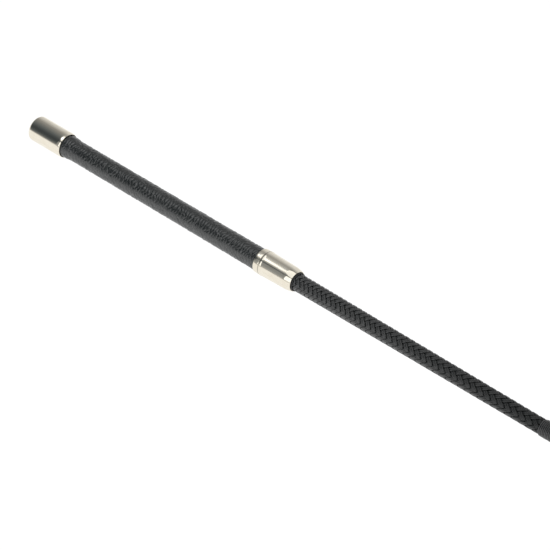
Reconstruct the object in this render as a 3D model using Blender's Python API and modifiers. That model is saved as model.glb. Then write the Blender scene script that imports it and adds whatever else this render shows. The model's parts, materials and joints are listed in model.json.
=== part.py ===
"""Riding crop with a metal-capped handle, a braided tapering shaft and a leather keeper.

The crop lies along X on the plane z = 0, butt end at -X and keeper at +X. The origin is under the
middle of its length. "Station" means a distance from the butt end, measured along the crop's axis.
Touching pieces keep a clearance of GAP. All sizes are in metres.
"""

import math

import bpy

# ---------------------------------------------------------------------------------------------
# Driving dimensions
# ---------------------------------------------------------------------------------------------
TOTAL_LENGTH = 0.610
GAP = 0.0003
SIDES = 24                          # flats round every turned piece

CAP_RADIUS = 0.0098
CAP_LENGTH = 0.0328
CAP_CORNER_RADIUS = 0.0025
METAL_WALL = 0.0006

GRIP_RADIUS = 0.0081
GRIP_WALL = 0.0012
GRIP_FLARE_RADIUS = 0.0089          # the sleeve swells where the cap grips it
GRIP_FLARE_LENGTH = 0.0100

FERRULE_START = 0.2266
FERRULE_END = 0.2609
FERRULE_RADIUS = 0.0094
FERRULE_RING_LENGTH = 0.0045
FERRULE_GROOVE_WIDTH = 0.0008
FERRULE_GROOVE_DEPTH = 0.00045
FERRULE_BARREL_END_RADIUS = 0.0089
FERRULE_SHOULDER_LENGTH = 0.0058
FERRULE_MOUTH_RADIUS = 0.0078

BUSHING_LIP_LENGTH = 0.0014         # how far the bushing stands out of the ferrule's mouth
BUSHING_LIP_RADIUS = 0.0071

HANDLE_TUBE_BORE = 0.0046
PLUG_HEAD_LENGTH = 0.0050
PLUG_SPIGOT_LENGTH = 0.0200

BRAID_WALL = 0.0013
BRAID_RADIUS_AT_FERRULE = 0.0063
BRAID_RADIUS_AT_WHIPPING = 0.0055
BRAID_RADIUS_BOUND = 0.0050         # squeezed in by the whipping

CORE_BUTT_RADIUS = 0.0032
CORE_TIP_RADIUS = 0.0018
CORE_TAPER_START = 0.240
CORE_END = 0.5110

WHIPPING_START = 0.4835
WHIPPING_END = 0.5135
WHIPPING_RADIUS = 0.0062
WHIPPING_EDGE = 0.0008

KEEPER_HINGE = WHIPPING_END + 0.0025
KEEPER_THICKNESS = 0.0032           # two leaves of leather, stitched together
KEEPER_EDGE_RADIUS = 0.0012
KEEPER_NECK_WIDTH = 0.0104
KEEPER_SHOULDER_WIDTH = 0.0270
KEEPER_END_WIDTH = 0.0310
KEEPER_SHOULDER_LENGTH = 0.0150
KEEPER_CORNER_RADIUS = 0.0055

SEAM_INSET = 0.0032                 # from the keeper's edge to the stitched seam
THREAD_RADIUS = 0.0003

# ---------------------------------------------------------------------------------------------
# Worked-out sizes
# ---------------------------------------------------------------------------------------------
BUTT_X = -TOTAL_LENGTH / 2
AXIS_Z = CAP_RADIUS
GROOVE_START = FERRULE_START + FERRULE_RING_LENGTH
BARREL_START = GROOVE_START + FERRULE_GROOVE_WIDTH
SHOULDER_START = FERRULE_END - FERRULE_SHOULDER_LENGTH
GROOVE_RADIUS = FERRULE_RADIUS - FERRULE_GROOVE_DEPTH
GRIP_START = METAL_WALL + GAP + PLUG_HEAD_LENGTH + GAP
GRIP_END = GROOVE_START - METAL_WALL
HANDLE_TUBE_RADIUS = GRIP_RADIUS - GRIP_WALL - GAP
PLUG_SPIGOT_END = GRIP_START + PLUG_SPIGOT_LENGTH
BRAID_START = GROOVE_START + GAP
SQUEEZE_START = WHIPPING_START - 0.0012
BRAID_END = WHIPPING_START + 0.0100
KEEPER_LENGTH = TOTAL_LENGTH - KEEPER_HINGE


def make_material(name, colour, roughness, metallic=0.0):
    """A Principled material with one colour."""
    mat = bpy.data.materials.new(name)
    mat.use_nodes = True
    shader = mat.node_tree.nodes["Principled BSDF"]
    shader.inputs["Base Color"].default_value = (*colour, 1.0)
    shader.inputs["Roughness"].default_value = roughness
    shader.inputs["Metallic"].default_value = metallic
    mat.diffuse_color = (*colour, 1.0)
    return mat


def add_object(name, data, mat, parent, collection):
    """Link one sub-part and give it its material."""
    obj = bpy.data.objects.new(name, data)
    data.materials.append(mat)
    obj.parent = parent
    collection.objects.link(obj)
    return obj


def add_empty(name, station, collection):
    """A reference point on the crop's axis."""
    empty = bpy.data.objects.new(name, None)
    empty.location = (BUTT_X + station, 0.0, AXIS_Z)
    empty.empty_display_size = 0.01
    collection.objects.link(empty)
    return empty


def turned(name, outline, mat, parent, collection, hollow=False):
    """Turn an outline of (station, radius) points about the crop's axis.

    The outline runs along the outer side from the tip end to the butt end. A hollow piece comes
    back along its bore and is closed; a solid piece starts and ends on the axis. The flats touch
    the true circle, and one flat faces straight down.
    """
    corner_factor = 1.0 / math.cos(math.pi / SIDES)
    mesh = bpy.data.meshes.new(name)
    points = [(radius * corner_factor, 0.0, station) for station, radius in outline]
    edges = [(i, i + 1) for i in range(len(points) - 1)]
    if hollow:
        edges.append((len(points) - 1, 0))
    mesh.from_pydata(points, edges, [])
    obj = add_object(name, mesh, mat, parent, collection)
    obj.rotation_mode = "ZYX"
    obj.rotation_euler = (0.0, math.pi / 2, math.pi / SIDES)
    screw = obj.modifiers.new("turn", "SCREW")
    screw.axis = "Z"
    screw.angle = 2.0 * math.pi
    screw.steps = SIDES
    screw.render_steps = SIDES
    screw.use_merge_vertices = True
    screw.merge_threshold = 0.00001
    screw.use_smooth_shade = True
    return obj


def arc(centre, radius, start_deg, end_deg, steps):
    """Points of an arc in the (station, radius) plane, angles measured from the +station direction."""
    points = []
    for i in range(steps + 1):
        angle = math.radians(start_deg + (end_deg - start_deg) * i / steps)
        points.append((centre[0] + radius * math.cos(angle), centre[1] + radius * math.sin(angle)))
    return points


def braid_radius(station):
    """Outer radius of the braid, which tapers evenly from the ferrule to the whipping."""
    share = (station - FERRULE_END) / (WHIPPING_START - FERRULE_END)
    share = min(max(share, 0.0), 1.0)
    return BRAID_RADIUS_AT_FERRULE + (BRAID_RADIUS_AT_WHIPPING - BRAID_RADIUS_AT_FERRULE) * share


def core_radius(station):
    """Outer radius of the core rod: even through the handle, then tapering to the tip."""
    share = max(0.0, (station - CORE_TAPER_START) / (CORE_END - CORE_TAPER_START))
    return CORE_BUTT_RADIUS + (CORE_TIP_RADIUS - CORE_BUTT_RADIUS) * share


# ---------------------------------------------------------------------------------------------
# Handle
# ---------------------------------------------------------------------------------------------
def make_handle_cap(parent, collection):
    """Drawn metal cup over the butt end."""
    mat = make_material("polished_nickel_cap", (0.78, 0.75, 0.69), 0.12, 1.0)
    corner = arc((CAP_CORNER_RADIUS, CAP_RADIUS - CAP_CORNER_RADIUS), CAP_CORNER_RADIUS, 90, 180, 3)
    bore = CAP_RADIUS - METAL_WALL
    inner_corner = 0.0012
    outline = [(CAP_LENGTH, CAP_RADIUS)] + corner + [
        (0.0, 0.0),
        (METAL_WALL, 0.0),
        (METAL_WALL, bore - inner_corner),
        (METAL_WALL + inner_corner, bore),
        (CAP_LENGTH, bore),
    ]
    return turned("handle_cap", outline, mat, parent, collection, hollow=True)


def make_handle_plug(parent, collection):
    """Stepped plug that closes the handle tube and carries the cap."""
    mat = make_material("turned_steel_plug", (0.50, 0.50, 0.51), 0.35, 1.0)
    head_start = METAL_WALL + GAP
    head_radius = CAP_RADIUS - METAL_WALL - GAP
    spigot_radius = HANDLE_TUBE_BORE - GAP
    head_end = head_start + PLUG_HEAD_LENGTH
    chamfer = 0.0006
    head_chamfer = 0.0011
    outline = [
        (PLUG_SPIGOT_END, 0.0),
        (PLUG_SPIGOT_END, spigot_radius - chamfer),
        (PLUG_SPIGOT_END - chamfer, spigot_radius),
        (head_end, spigot_radius),
        (head_end, head_radius),
        (head_start + head_chamfer, head_radius),
        (head_start, head_radius - head_chamfer),
        (head_start, 0.0),
    ]
    return turned("handle_plug", outline, mat, parent, collection)


def make_handle_tube(parent, collection):
    """Moulded tube that builds the handle up over the core rod."""
    mat = make_material("moulded_handle_tube", (0.10, 0.10, 0.10), 0.60)
    neck_radius = core_radius(0.0) + GAP
    step = PLUG_SPIGOT_END + GAP
    outline = [
        (GRIP_END, HANDLE_TUBE_RADIUS),
        (GRIP_START, HANDLE_TUBE_RADIUS),
        (GRIP_START, HANDLE_TUBE_BORE),
        (step, HANDLE_TUBE_BORE),
        (step, neck_radius),
        (GRIP_END, neck_radius),
    ]
    return turned("handle_tube", outline, mat, parent, collection, hollow=True)


def make_grip_sleeve(parent, collection):
    """Leather sleeve of the handle, held at its ends by the cap and the ferrule."""
    mat = make_material("grip_leather", (0.020, 0.020, 0.022), 0.45)
    bore = GRIP_RADIUS - GRIP_WALL
    held_radius = GRIP_FLARE_RADIUS - 0.0001
    flare_end = CAP_LENGTH + GRIP_FLARE_LENGTH
    outline = [
        (GRIP_END, GRIP_RADIUS),
        (flare_end, GRIP_RADIUS),
        (CAP_LENGTH + 0.55 * GRIP_FLARE_LENGTH, GRIP_RADIUS + 0.00015),
        (CAP_LENGTH + 0.25 * GRIP_FLARE_LENGTH, GRIP_FLARE_RADIUS - 0.00020),
        (CAP_LENGTH + 0.0003, GRIP_FLARE_RADIUS),
        (CAP_LENGTH - 0.0010, held_radius),
        (GRIP_START, held_radius),
        (GRIP_START, bore),
        (GRIP_END, bore),
    ]
    return turned("grip_sleeve", outline, mat, parent, collection, hollow=True)


# ---------------------------------------------------------------------------------------------
# Ferrule
# ---------------------------------------------------------------------------------------------
def ferrule_outer_profile():
    """Outer side of the ferrule from mouth to ring: domed shoulder, barrel, rolled groove, ring."""
    points = []
    steps = 5
    for i in range(steps + 1):
        share = i / steps
        bulge = math.sqrt(1.0 - (1.0 - share) ** 2)
        straight = share
        rise = 0.55 * bulge + 0.45 * straight
        radius = FERRULE_MOUTH_RADIUS + (FERRULE_BARREL_END_RADIUS - FERRULE_MOUTH_RADIUS) * rise
        points.append((FERRULE_END - FERRULE_SHOULDER_LENGTH * share, radius))
    edge = 0.0003
    points += [
        (BARREL_START + edge, FERRULE_RADIUS),
        (BARREL_START, GROOVE_RADIUS),
        (GROOVE_START, GROOVE_RADIUS),
        (GROOVE_START - edge, FERRULE_RADIUS),
        (FERRULE_START + edge, FERRULE_RADIUS),
        (FERRULE_START, FERRULE_RADIUS - edge),
    ]
    return points


def make_ferrule(parent, collection):
    """Drawn metal collar that joins the handle and the shaft."""
    mat = make_material("polished_nickel_ferrule", (0.78, 0.75, 0.69), 0.12, 1.0)
    outer = ferrule_outer_profile()
    wide_bore = FERRULE_RADIUS - METAL_WALL
    groove_bore = GROOVE_RADIUS - METAL_WALL
    barrel_bore = FERRULE_BARREL_END_RADIUS - METAL_WALL
    mouth_bore = FERRULE_MOUTH_RADIUS - METAL_WALL
    inner = [
        (FERRULE_START, wide_bore),
        (GROOVE_START - 0.0003, wide_bore),
        (GROOVE_START, groove_bore),
        (BARREL_START, groove_bore),
        (SHOULDER_START, barrel_bore - 0.0001),
        (FERRULE_END, mouth_bore),
    ]
    return turned("ferrule", outer + inner, mat, parent, collection, hollow=True)


def make_ferrule_bushing(parent, collection):
    """Rubber bushing that centres the braided shaft in the ferrule and seals its mouth."""
    mat = make_material("bushing_rubber", (0.015, 0.015, 0.015), 0.55)
    bore = BRAID_RADIUS_AT_FERRULE + GAP
    inside = METAL_WALL + GAP
    through_mouth = FERRULE_MOUTH_RADIUS - inside
    lip_start = FERRULE_END + GAP
    lip_end = FERRULE_END + BUSHING_LIP_LENGTH
    outline = [
        (lip_end, bore),
        (lip_end, BUSHING_LIP_RADIUS - 0.0003),
        (lip_end - 0.0004, BUSHING_LIP_RADIUS - 0.0001),
        (lip_end - 0.0008, BUSHING_LIP_RADIUS),
        (lip_start, BUSHING_LIP_RADIUS),
        (lip_start, through_mouth),
        (FERRULE_END, through_mouth),
        (SHOULDER_START, FERRULE_BARREL_END_RADIUS - inside - 0.0001),
        (BARREL_START, GROOVE_RADIUS - inside),
        (BARREL_START, bore),
    ]
    return turned("ferrule_bushing", outline, mat, parent, collection, hollow=True)


# ---------------------------------------------------------------------------------------------
# Shaft
# ---------------------------------------------------------------------------------------------
def make_shaft_core(parent, collection):
    """Springy tapered rod from the handle plug to the tip."""
    mat = make_material("glass_fibre_core", (0.62, 0.60, 0.48), 0.40)
    start = PLUG_SPIGOT_END + GAP
    outline = [
        (CORE_END, 0.0),
        (CORE_END, core_radius(CORE_END)),
        (CORE_TAPER_START, core_radius(CORE_TAPER_START)),
        (start, core_radius(start)),
        (start, 0.0),
    ]
    return turned("shaft_core", outline, mat, parent, collection)


def make_core_sheath(parent, collection):
    """Soft filler sheath between the core rod and the braid."""
    mat = make_material("filler_sheath", (0.05, 0.05, 0.05), 0.80)
    stations = [SQUEEZE_START - GAP, FERRULE_END, BRAID_START]
    outer = [(s, braid_radius(s) - BRAID_WALL - GAP) for s in stations]
    inner = [(s, core_radius(s) + GAP) for s in reversed(stations)]
    return turned("core_sheath", outer + inner, mat, parent, collection, hollow=True)


def make_braid_cover(parent, collection):
    """Braided cord cover of the shaft, bound down under the whipping."""
    mat = make_material("braid_cord", (0.022, 0.023, 0.024), 0.60)
    bound_bore = core_radius(WHIPPING_START) + GAP
    outline = [
        (BRAID_END, BRAID_RADIUS_BOUND),
        (WHIPPING_START - GAP, BRAID_RADIUS_BOUND),
        (SQUEEZE_START, braid_radius(SQUEEZE_START)),
        (FERRULE_END, BRAID_RADIUS_AT_FERRULE),
        (BRAID_START, BRAID_RADIUS_AT_FERRULE),
        (BRAID_START, BRAID_RADIUS_AT_FERRULE - BRAID_WALL),
        (FERRULE_END, BRAID_RADIUS_AT_FERRULE - BRAID_WALL),
        (SQUEEZE_START, braid_radius(SQUEEZE_START) - BRAID_WALL),
        (WHIPPING_START - GAP, bound_bore),
        (BRAID_END, bound_bore),
    ]
    return turned("braid_cover", outline, mat, parent, collection, hollow=True)


def make_tip_whipping(parent, collection):
    """Thread whipping that binds the braid's end and the keeper's root to the core."""
    mat = make_material("whipping_thread", (0.025, 0.025, 0.026), 0.55)
    bore = BRAID_RADIUS_BOUND + GAP
    shallow = 0.0002
    outline = [
        (WHIPPING_END, WHIPPING_RADIUS - shallow),
        (WHIPPING_END - WHIPPING_EDGE, WHIPPING_RADIUS),
        (WHIPPING_START + WHIPPING_EDGE, WHIPPING_RADIUS),
        (WHIPPING_START, WHIPPING_RADIUS - shallow),
        (WHIPPING_START, bore),
        (WHIPPING_END, bore),
    ]
    return turned("tip_whipping", outline, mat, parent, collection, hollow=True)


# ---------------------------------------------------------------------------------------------
# Keeper
# ---------------------------------------------------------------------------------------------
def make_keeper_root(parent, collection):
    """The keeper's leather where it is gathered round the core's end, under the whipping."""
    mat = make_material("keeper_root_leather", (0.030, 0.026, 0.024), 0.50)
    start = BRAID_END + GAP
    end = WHIPPING_END + 0.0004
    bore = core_radius(start) + GAP
    rounding = 0.0008
    outline = [
        (end, 0.0),
        (end, BRAID_RADIUS_BOUND - rounding),
        (end - rounding, BRAID_RADIUS_BOUND),
        (start, BRAID_RADIUS_BOUND),
        (start, bore),
        (CORE_END + GAP, bore),
        (CORE_END + GAP, 0.0),
    ]
    return turned("keeper_root", outline, mat, parent, collection)


def keeper_half_width(distance):
    """Half width of the tongue at a distance past its hinge: neck, flowing shoulder, slight flare."""
    if distance < KEEPER_SHOULDER_LENGTH:
        share = max(distance, 0.0) / KEEPER_SHOULDER_LENGTH
        ease = 0.5 - 0.5 * math.cos(math.pi * share)
        return 0.5 * (KEEPER_NECK_WIDTH + (KEEPER_SHOULDER_WIDTH - KEEPER_NECK_WIDTH) * ease)
    share = (distance - KEEPER_SHOULDER_LENGTH) / (KEEPER_LENGTH - KEEPER_SHOULDER_LENGTH)
    return 0.5 * (KEEPER_SHOULDER_WIDTH + (KEEPER_END_WIDTH - KEEPER_SHOULDER_WIDTH) * share)


def keeper_side(inset):
    """Points (x, y) of the tongue's +Y side from nose to end, set in from its true edge."""
    shoulder_steps = 10
    corner_steps = 4
    nose = -0.5 * KEEPER_THICKNESS + inset
    points = [(nose, keeper_half_width(0.0) - inset)]
    for i in range(1, shoulder_steps + 1):
        x = KEEPER_SHOULDER_LENGTH * i / shoulder_steps
        points.append((x, keeper_half_width(x) - inset))
    corner = KEEPER_CORNER_RADIUS - inset
    centre_x = KEEPER_LENGTH - KEEPER_CORNER_RADIUS
    centre_y = 0.5 * KEEPER_END_WIDTH - KEEPER_CORNER_RADIUS
    for i in range(corner_steps + 1):
        angle = 0.5 * math.pi * (1.0 - i / corner_steps)
        points.append((centre_x + corner * math.cos(angle), centre_y + corner * math.sin(angle)))
    return points


def make_keeper_tongue(parent, collection):
    """Flat leather tongue: one strip folded at its far end, its two leaves stitched together."""
    mat = make_material("keeper_leather", (0.030, 0.026, 0.024), 0.50)
    side = keeper_side(KEEPER_EDGE_RADIUS)
    outline = side + [(x, -y) for x, y in reversed(side)]
    curve = bpy.data.curves.new("keeper_tongue", "CURVE")
    curve.dimensions = "2D"
    curve.fill_mode = "BOTH"
    curve.extrude = 0.5 * KEEPER_THICKNESS - KEEPER_EDGE_RADIUS
    curve.bevel_depth = KEEPER_EDGE_RADIUS
    curve.bevel_resolution = 2
    spline = curve.splines.new("POLY")
    spline.points.add(len(outline) - 1)
    for point, (x, y) in zip(spline.points, outline):
        point.co = (x, y, 0.0, 1.0)
    spline.use_cyclic_u = True
    return add_object("keeper_tongue", curve, mat, parent, collection)


def seam_path():
    """Points (x, y) of the stitched seam: down one long side, across the end and back."""
    side = keeper_side(SEAM_INSET)
    start = next(i for i, (x, _) in enumerate(side) if x > 0.4 * KEEPER_SHOULDER_LENGTH)
    half = side[start:]
    return half + [(x, -y) for x, y in reversed(half)]


def make_seam_thread(name, face, parent, collection):
    """One of the lock-stitched seam's two threads, lying on the tongue's upper or lower face."""
    mat = make_material(name + "_linen", (0.035, 0.035, 0.035), 0.60)
    height = 0.5 * KEEPER_THICKNESS + GAP + THREAD_RADIUS
    curve = bpy.data.curves.new(name, "CURVE")
    curve.dimensions = "3D"
    curve.bevel_depth = THREAD_RADIUS
    curve.bevel_resolution = 1
    curve.use_fill_caps = True
    path = seam_path()
    spline = curve.splines.new("POLY")
    spline.points.add(len(path) - 1)
    for point, (x, y) in zip(spline.points, path):
        point.co = (x, y, face * height, 1.0)
    return add_object(name, curve, mat, parent, collection)


def main():
    """Clear the scene and build the crop."""
    for obj in list(bpy.data.objects):
        bpy.data.objects.remove(obj, do_unlink=True)
    collection = bpy.data.collections.new("riding_crop")
    bpy.context.scene.collection.children.link(collection)

    axis = add_empty("crop_axis", 0.0, collection)
    for make in (
        make_handle_cap,
        make_handle_plug,
        make_handle_tube,
        make_grip_sleeve,
        make_ferrule,
        make_ferrule_bushing,
        make_shaft_core,
        make_core_sheath,
        make_braid_cover,
        make_tip_whipping,
        make_keeper_root,
    ):
        make(axis, collection)

    hinge = add_empty("keeper_flex_axis", KEEPER_HINGE, collection)
    make_keeper_tongue(hinge, collection)
    make_seam_thread("keeper_needle_thread", 1.0, hinge, collection)
    make_seam_thread("keeper_bobbin_thread", -1.0, hinge, collection)


main()
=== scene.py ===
"""Looks of the riding crop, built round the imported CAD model.

The crop lies along +X. "Station" is a distance from the butt end along the crop's axis, and
"ground" angles are measured in the YZ plane from +Y towards +Z. All sizes are in metres.
"""
import json
import math

import bmesh
import bpy
import numpy as np
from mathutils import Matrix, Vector


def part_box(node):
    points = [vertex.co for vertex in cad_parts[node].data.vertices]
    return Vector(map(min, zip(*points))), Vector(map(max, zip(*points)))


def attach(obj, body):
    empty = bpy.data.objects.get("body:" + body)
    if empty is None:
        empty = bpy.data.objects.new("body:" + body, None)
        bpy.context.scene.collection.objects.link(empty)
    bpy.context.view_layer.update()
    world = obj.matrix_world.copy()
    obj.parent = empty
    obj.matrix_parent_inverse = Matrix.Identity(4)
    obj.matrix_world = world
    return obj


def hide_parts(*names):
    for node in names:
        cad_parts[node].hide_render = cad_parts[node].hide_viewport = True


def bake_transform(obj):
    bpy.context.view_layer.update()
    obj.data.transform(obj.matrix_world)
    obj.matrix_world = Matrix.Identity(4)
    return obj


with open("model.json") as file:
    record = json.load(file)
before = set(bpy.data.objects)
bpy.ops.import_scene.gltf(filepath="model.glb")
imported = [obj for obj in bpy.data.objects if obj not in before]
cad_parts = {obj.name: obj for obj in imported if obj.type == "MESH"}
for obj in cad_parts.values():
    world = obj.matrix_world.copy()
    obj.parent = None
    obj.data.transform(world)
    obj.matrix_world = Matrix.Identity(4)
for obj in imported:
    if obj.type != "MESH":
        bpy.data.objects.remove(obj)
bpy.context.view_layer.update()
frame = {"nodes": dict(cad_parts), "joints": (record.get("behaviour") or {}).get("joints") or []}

# ----------------------------------------
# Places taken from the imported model
# ----------------------------------------
CAP_LOW, CAP_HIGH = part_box("handle_cap")
BUTT_X = CAP_LOW.x
AXIS_Z = 0.5 * (CAP_LOW.z + CAP_HIGH.z)
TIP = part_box("keeper_tongue")[1].x - BUTT_X


def span(node):
    """First and last station of a CAD node."""
    low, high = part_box(node)
    return low.x - BUTT_X, high.x - BUTT_X


def outer_radius(node):
    """True outer radius of a turned CAD node, whose flats face straight up and down."""
    low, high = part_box(node)
    return 0.5 * (high.z - low.z)


CAP_START, CAP_END = span("handle_cap")
CAP_RADIUS = outer_radius("handle_cap")
GRIP_START, GRIP_END = span("grip_sleeve")
FERRULE_START, FERRULE_END = span("ferrule")
FERRULE_RADIUS = outer_radius("ferrule")
LIP_END = span("ferrule_bushing")[1]
CORE_END = span("shaft_core")[1]
WHIPPING_START, WHIPPING_END = span("tip_whipping")
WHIPPING_RADIUS = outer_radius("tip_whipping")
HINGE = frame["joints"][0]["pos_m"][0] - BUTT_X
KEEPER_LENGTH = TIP - HINGE
KEEPER_HALF_THICKNESS = 0.5 * (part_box("keeper_tongue")[1].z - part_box("keeper_tongue")[0].z)
KEEPER_END_HALF_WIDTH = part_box("keeper_tongue")[1].y

# ----------------------------------------
# Sizes that the CAD solids don't show
# ----------------------------------------
METAL_WALL = 0.0006
TURN_SIDES = 192

CAP_CORNER = 0.0025
CAP_MOUTH_RADIUS = 0.0094
CAP_CURVE_LENGTH = 0.0035           # the cap's wall curves in over this length at its mouth
CAP_LIP = 0.00035

GRIP_BORE = 0.0069
GRIP_RADIUS_AT_CAP = 0.00795
GRIP_SWELL = 0.00033                # extra radius gained on the way to the ferrule
GRIP_FLARE = 0.00065                # extra radius where the sleeve comes out of the cap
GRIP_FLARE_LENGTH = 0.0110
GRIP_HELD_RADIUS = 0.0086           # squeezed under the metal
GRIP_RELIEF = 0.00036
GRIP_CELL = 0.0024
GRIP_CELLS_ROUND = 8
GRIP_ROWS = 540
GRIP_COLUMNS = 132

RING_LENGTH = 0.0045
GROOVE_WIDTH = 0.0008
GROOVE_DEPTH = 0.00045
GROOVE_EDGE = 0.0001                # its soft edges reach this far past it on each side
RING_EDGE = 0.0004
BARREL_END_RADIUS = 0.0089
BEAD_HEIGHT = 0.00020               # rolled edge of the barrel beside the groove
BEAD_PLACE = 0.00045                # its crest, measured from the groove's end
BEAD_SPREAD = 0.0009
SHOULDER_LENGTH = 0.0058
MOUTH_RADIUS = 0.0078

LIP_RADIUS = 0.0071
BUSHING_BORE = 0.0066

BRAID_RADIUS_AT_FERRULE = 0.00655
BRAID_RADIUS_AT_WHIPPING = 0.00570
BRAID_RADIUS_BOUND = 0.0048
SQUEEZE_BEFORE = 0.0010             # the braid narrows from this far before the whipping's start
SQUEEZE_AFTER = 0.0004              # to this far past it
BRAID_START = 0.2500                # inside the ferrule
BRAID_END = 0.4880                  # under the whipping
BRAID_RINGS = 775
STRANDS = 8                         # in each direction
PITCH_AT_FERRULE = 0.0038           # axial distance between strands of one direction
PITCH_GAIN = 0.0026
PITCH_POWER = 0.85
STRAND_WAVE = 0.00040               # half of the over-and-under travel
CROSSING_SHARPNESS = 3.0            # how quickly a strand changes from over to under
STRAND_TOP = 0.00054
STRAND_BOTTOM = 0.00024
STRAND_FILL = 0.84                  # width of a strand, as a share of the space it has
YARNS = 2                           # in each strand
PLUS_COLUMN = math.radians(139.6)   # where strands of the first direction lie on top
FIRST_STRAND = math.radians(128.35)

THREAD_TURNS = 21.5
THREAD_RADIUS = 0.00061
THREAD_STEPS_PER_TURN = 56
THREAD_TUCK = 0.0004                # how far each end of the thread is pressed in

KEEPER_ROOT_START = 0.4945
KEEPER_ROOT_RADIUS = 0.0047
KEEPER_ROOT_BORE = 0.00196          # the core's last part sits in it
BORE_CLEARANCE = 0.0002
KEEPER_NECK_HALF_WIDTH = 0.0052
KEEPER_SHOULDER_HALF_WIDTH = 0.0135
KEEPER_SHOULDER = 0.0150
KEEPER_CORNER = 0.0055
SEAM_INSET = 0.0032
SEAM_START = 0.0068
SEAM_THREAD_RADIUS = 0.00030
STITCH = 0.0036
STITCH_SLANT = 0.00052
STEPS_PER_STITCH = 14

# ----------------------------------------
# Camera and light
# ----------------------------------------
CAMERA_LENS = 241.0
CAMERA_DISTANCE = 2.578
CAMERA_AZIMUTH = math.radians(43.1)
CAMERA_ELEVATION = math.radians(39.35)
CAMERA_AIM_STATION = 0.24245
CAMERA_AIM_SHIFT = Vector((0.0, -0.00288, -0.00258))
FLOOR_Z = -0.10
FLOOR_HALF_SIZE = 30.0
STUDIO_TINT = (0.84, 1.0, 1.12)
# Brightness of the studio against the direction across the crop (-Y to +Y) and above the table
SIDE_LEVELS = (
    (0.10, 0.075), (0.215, 0.060), (0.32, 0.095), (0.45, 0.16),
    (0.59, 0.24), (0.73, 0.33), (0.83, 0.55), (0.92, 0.82),
)
KEY_PEAK = 4.0                      # a colour ramp holds values up to 1, so levels are scaled by this
KEY_LEVELS = ((0.0, 3.0), (0.12, 1.90), (0.23, 0.82), (0.42, 0.32), (0.65, 0.15), (1.0, 0.0))
HORIZON_LEVELS = ((0.0, 0.50), (0.10, 0.40), (0.22, 0.23), (0.36, 0.14), (0.62, 0.095), (0.90, 0.06))

# Centre and size of each light. The soft ones also have a point they face and a radiance
KEY_LIGHT = ((-0.44, -0.145, 0.60), (0.38, 1.10))
OVERHEAD_LIGHT = ((0.10, -0.34, 1.50), (0.10, -0.34, 0.0), (2.0, 1.9), 1.0)
FRONT_LIGHT = ((0.20, -2.0, 1.05), (0.20, 0.0, 1.05), (2.2, 1.7), 1.35)
SIDE_LIGHT = ((-1.28, -2.0, 1.05), (-1.28, 0.0, 1.05), (0.75, 1.7), 0.22)
FLOOR_GREY = 0.2
FLOOR_GLOW = 0.92
WHITE = (1.0, 1.0, 1.0)

# ----------------------------------------
# Finishes
# ----------------------------------------
# Dark and light colour, fineness of the fibres along and across, roughness and relief in metres
BRAID_YARN = ((0.002, 0.003, 0.003), (0.013, 0.015, 0.015), 450.0, 11.0, 0.20, 0.00008)
# Share that the braid's colour and reflection fall to at the whipping: painted shade towards the tip
BRAID_YARN_TIP_SHADE = 0.42
WAXED_THREAD = ((0.012, 0.012, 0.013), (0.034, 0.034, 0.035), 900.0, 14.0, 0.40, 0.00004)
LINEN_THREAD = ((0.018, 0.018, 0.018), (0.060, 0.060, 0.058), 1500.0, 10.0, 0.55, 0.00003)
NICKEL = (0.84, 0.79, 0.68)
DULL_NICKEL = (0.80, 0.74, 0.62)
# Colour painted into the ferrule's groove as shade
NICKEL_GROOVE_SHADE = (0.34, 0.32, 0.28)

SEED = 20


# ----------------------------------------
# Mesh helpers
# ----------------------------------------
def smoothstep(low, high, value):
    """0 below low, 1 above high, and an even rise between."""
    share = np.clip((np.asarray(value, float) - low) / (high - low), 0.0, 1.0)
    return share * share * (3.0 - 2.0 * share)


def grid_part(points, row_uv, col_uv, wrap_rows=False, cap_ends=False):
    """Vertices, faces and loop UVs of a (rows, columns, 3) grid whose columns close in a ring.

    row_uv and col_uv give the UV at each row and column, with one more value where they wrap.
    """
    rows, cols = points.shape[:2]
    row = np.arange(rows if wrap_rows else rows - 1)
    row, col = np.meshgrid(row, np.arange(cols), indexing="ij")
    next_row = (row + 1) % rows
    next_col = (col + 1) % cols
    quads = np.stack(
        [row * cols + col, next_row * cols + col, next_row * cols + next_col, row * cols + next_col], -1
    ).reshape(-1, 4)
    u = np.stack([col_uv[col], col_uv[col], col_uv[col + 1], col_uv[col + 1]], -1)
    v = np.stack([row_uv[row], row_uv[row + 1], row_uv[row + 1], row_uv[row]], -1)
    uvs = np.stack([u, v], -1).reshape(-1, 2)
    faces = quads.tolist()
    if cap_ends:
        faces.append(list(range(cols)))
        faces.append(list(range(rows * cols - 1, (rows - 1) * cols - 1, -1)))
        uvs = np.vstack([uvs, np.zeros((2 * cols, 2))])
    return points.reshape(-1, 3), faces, uvs


def build_object(name, parts, material, sharp_degrees=40.0, merge=False):
    """One mesh object from grid parts, smooth-shaded except at sharp edges."""
    vertices = np.vstack([part[0] for part in parts])
    uvs = np.vstack([part[2] for part in parts])
    faces = []
    offset = 0
    for part_vertices, part_faces, _ in parts:
        faces += [[index + offset for index in face] for face in part_faces]
        offset += len(part_vertices)
    mesh = bpy.data.meshes.new(name)
    mesh.from_pydata(vertices.tolist(), [], faces)
    mesh.uv_layers.new(name="UVMap").data.foreach_set("uv", uvs.ravel())
    edit = bmesh.new()
    edit.from_mesh(mesh)
    if merge:
        bmesh.ops.remove_doubles(edit, verts=edit.verts, dist=1e-7)
    bmesh.ops.recalc_face_normals(edit, faces=edit.faces)
    edit.to_mesh(mesh)
    edit.free()
    mesh.shade_smooth()
    mesh.set_sharp_from_angle(angle=math.radians(sharp_degrees))
    mesh.materials.append(material)
    obj = bpy.data.objects.new(name, mesh)
    bpy.context.scene.collection.objects.link(obj)
    return obj


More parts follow.
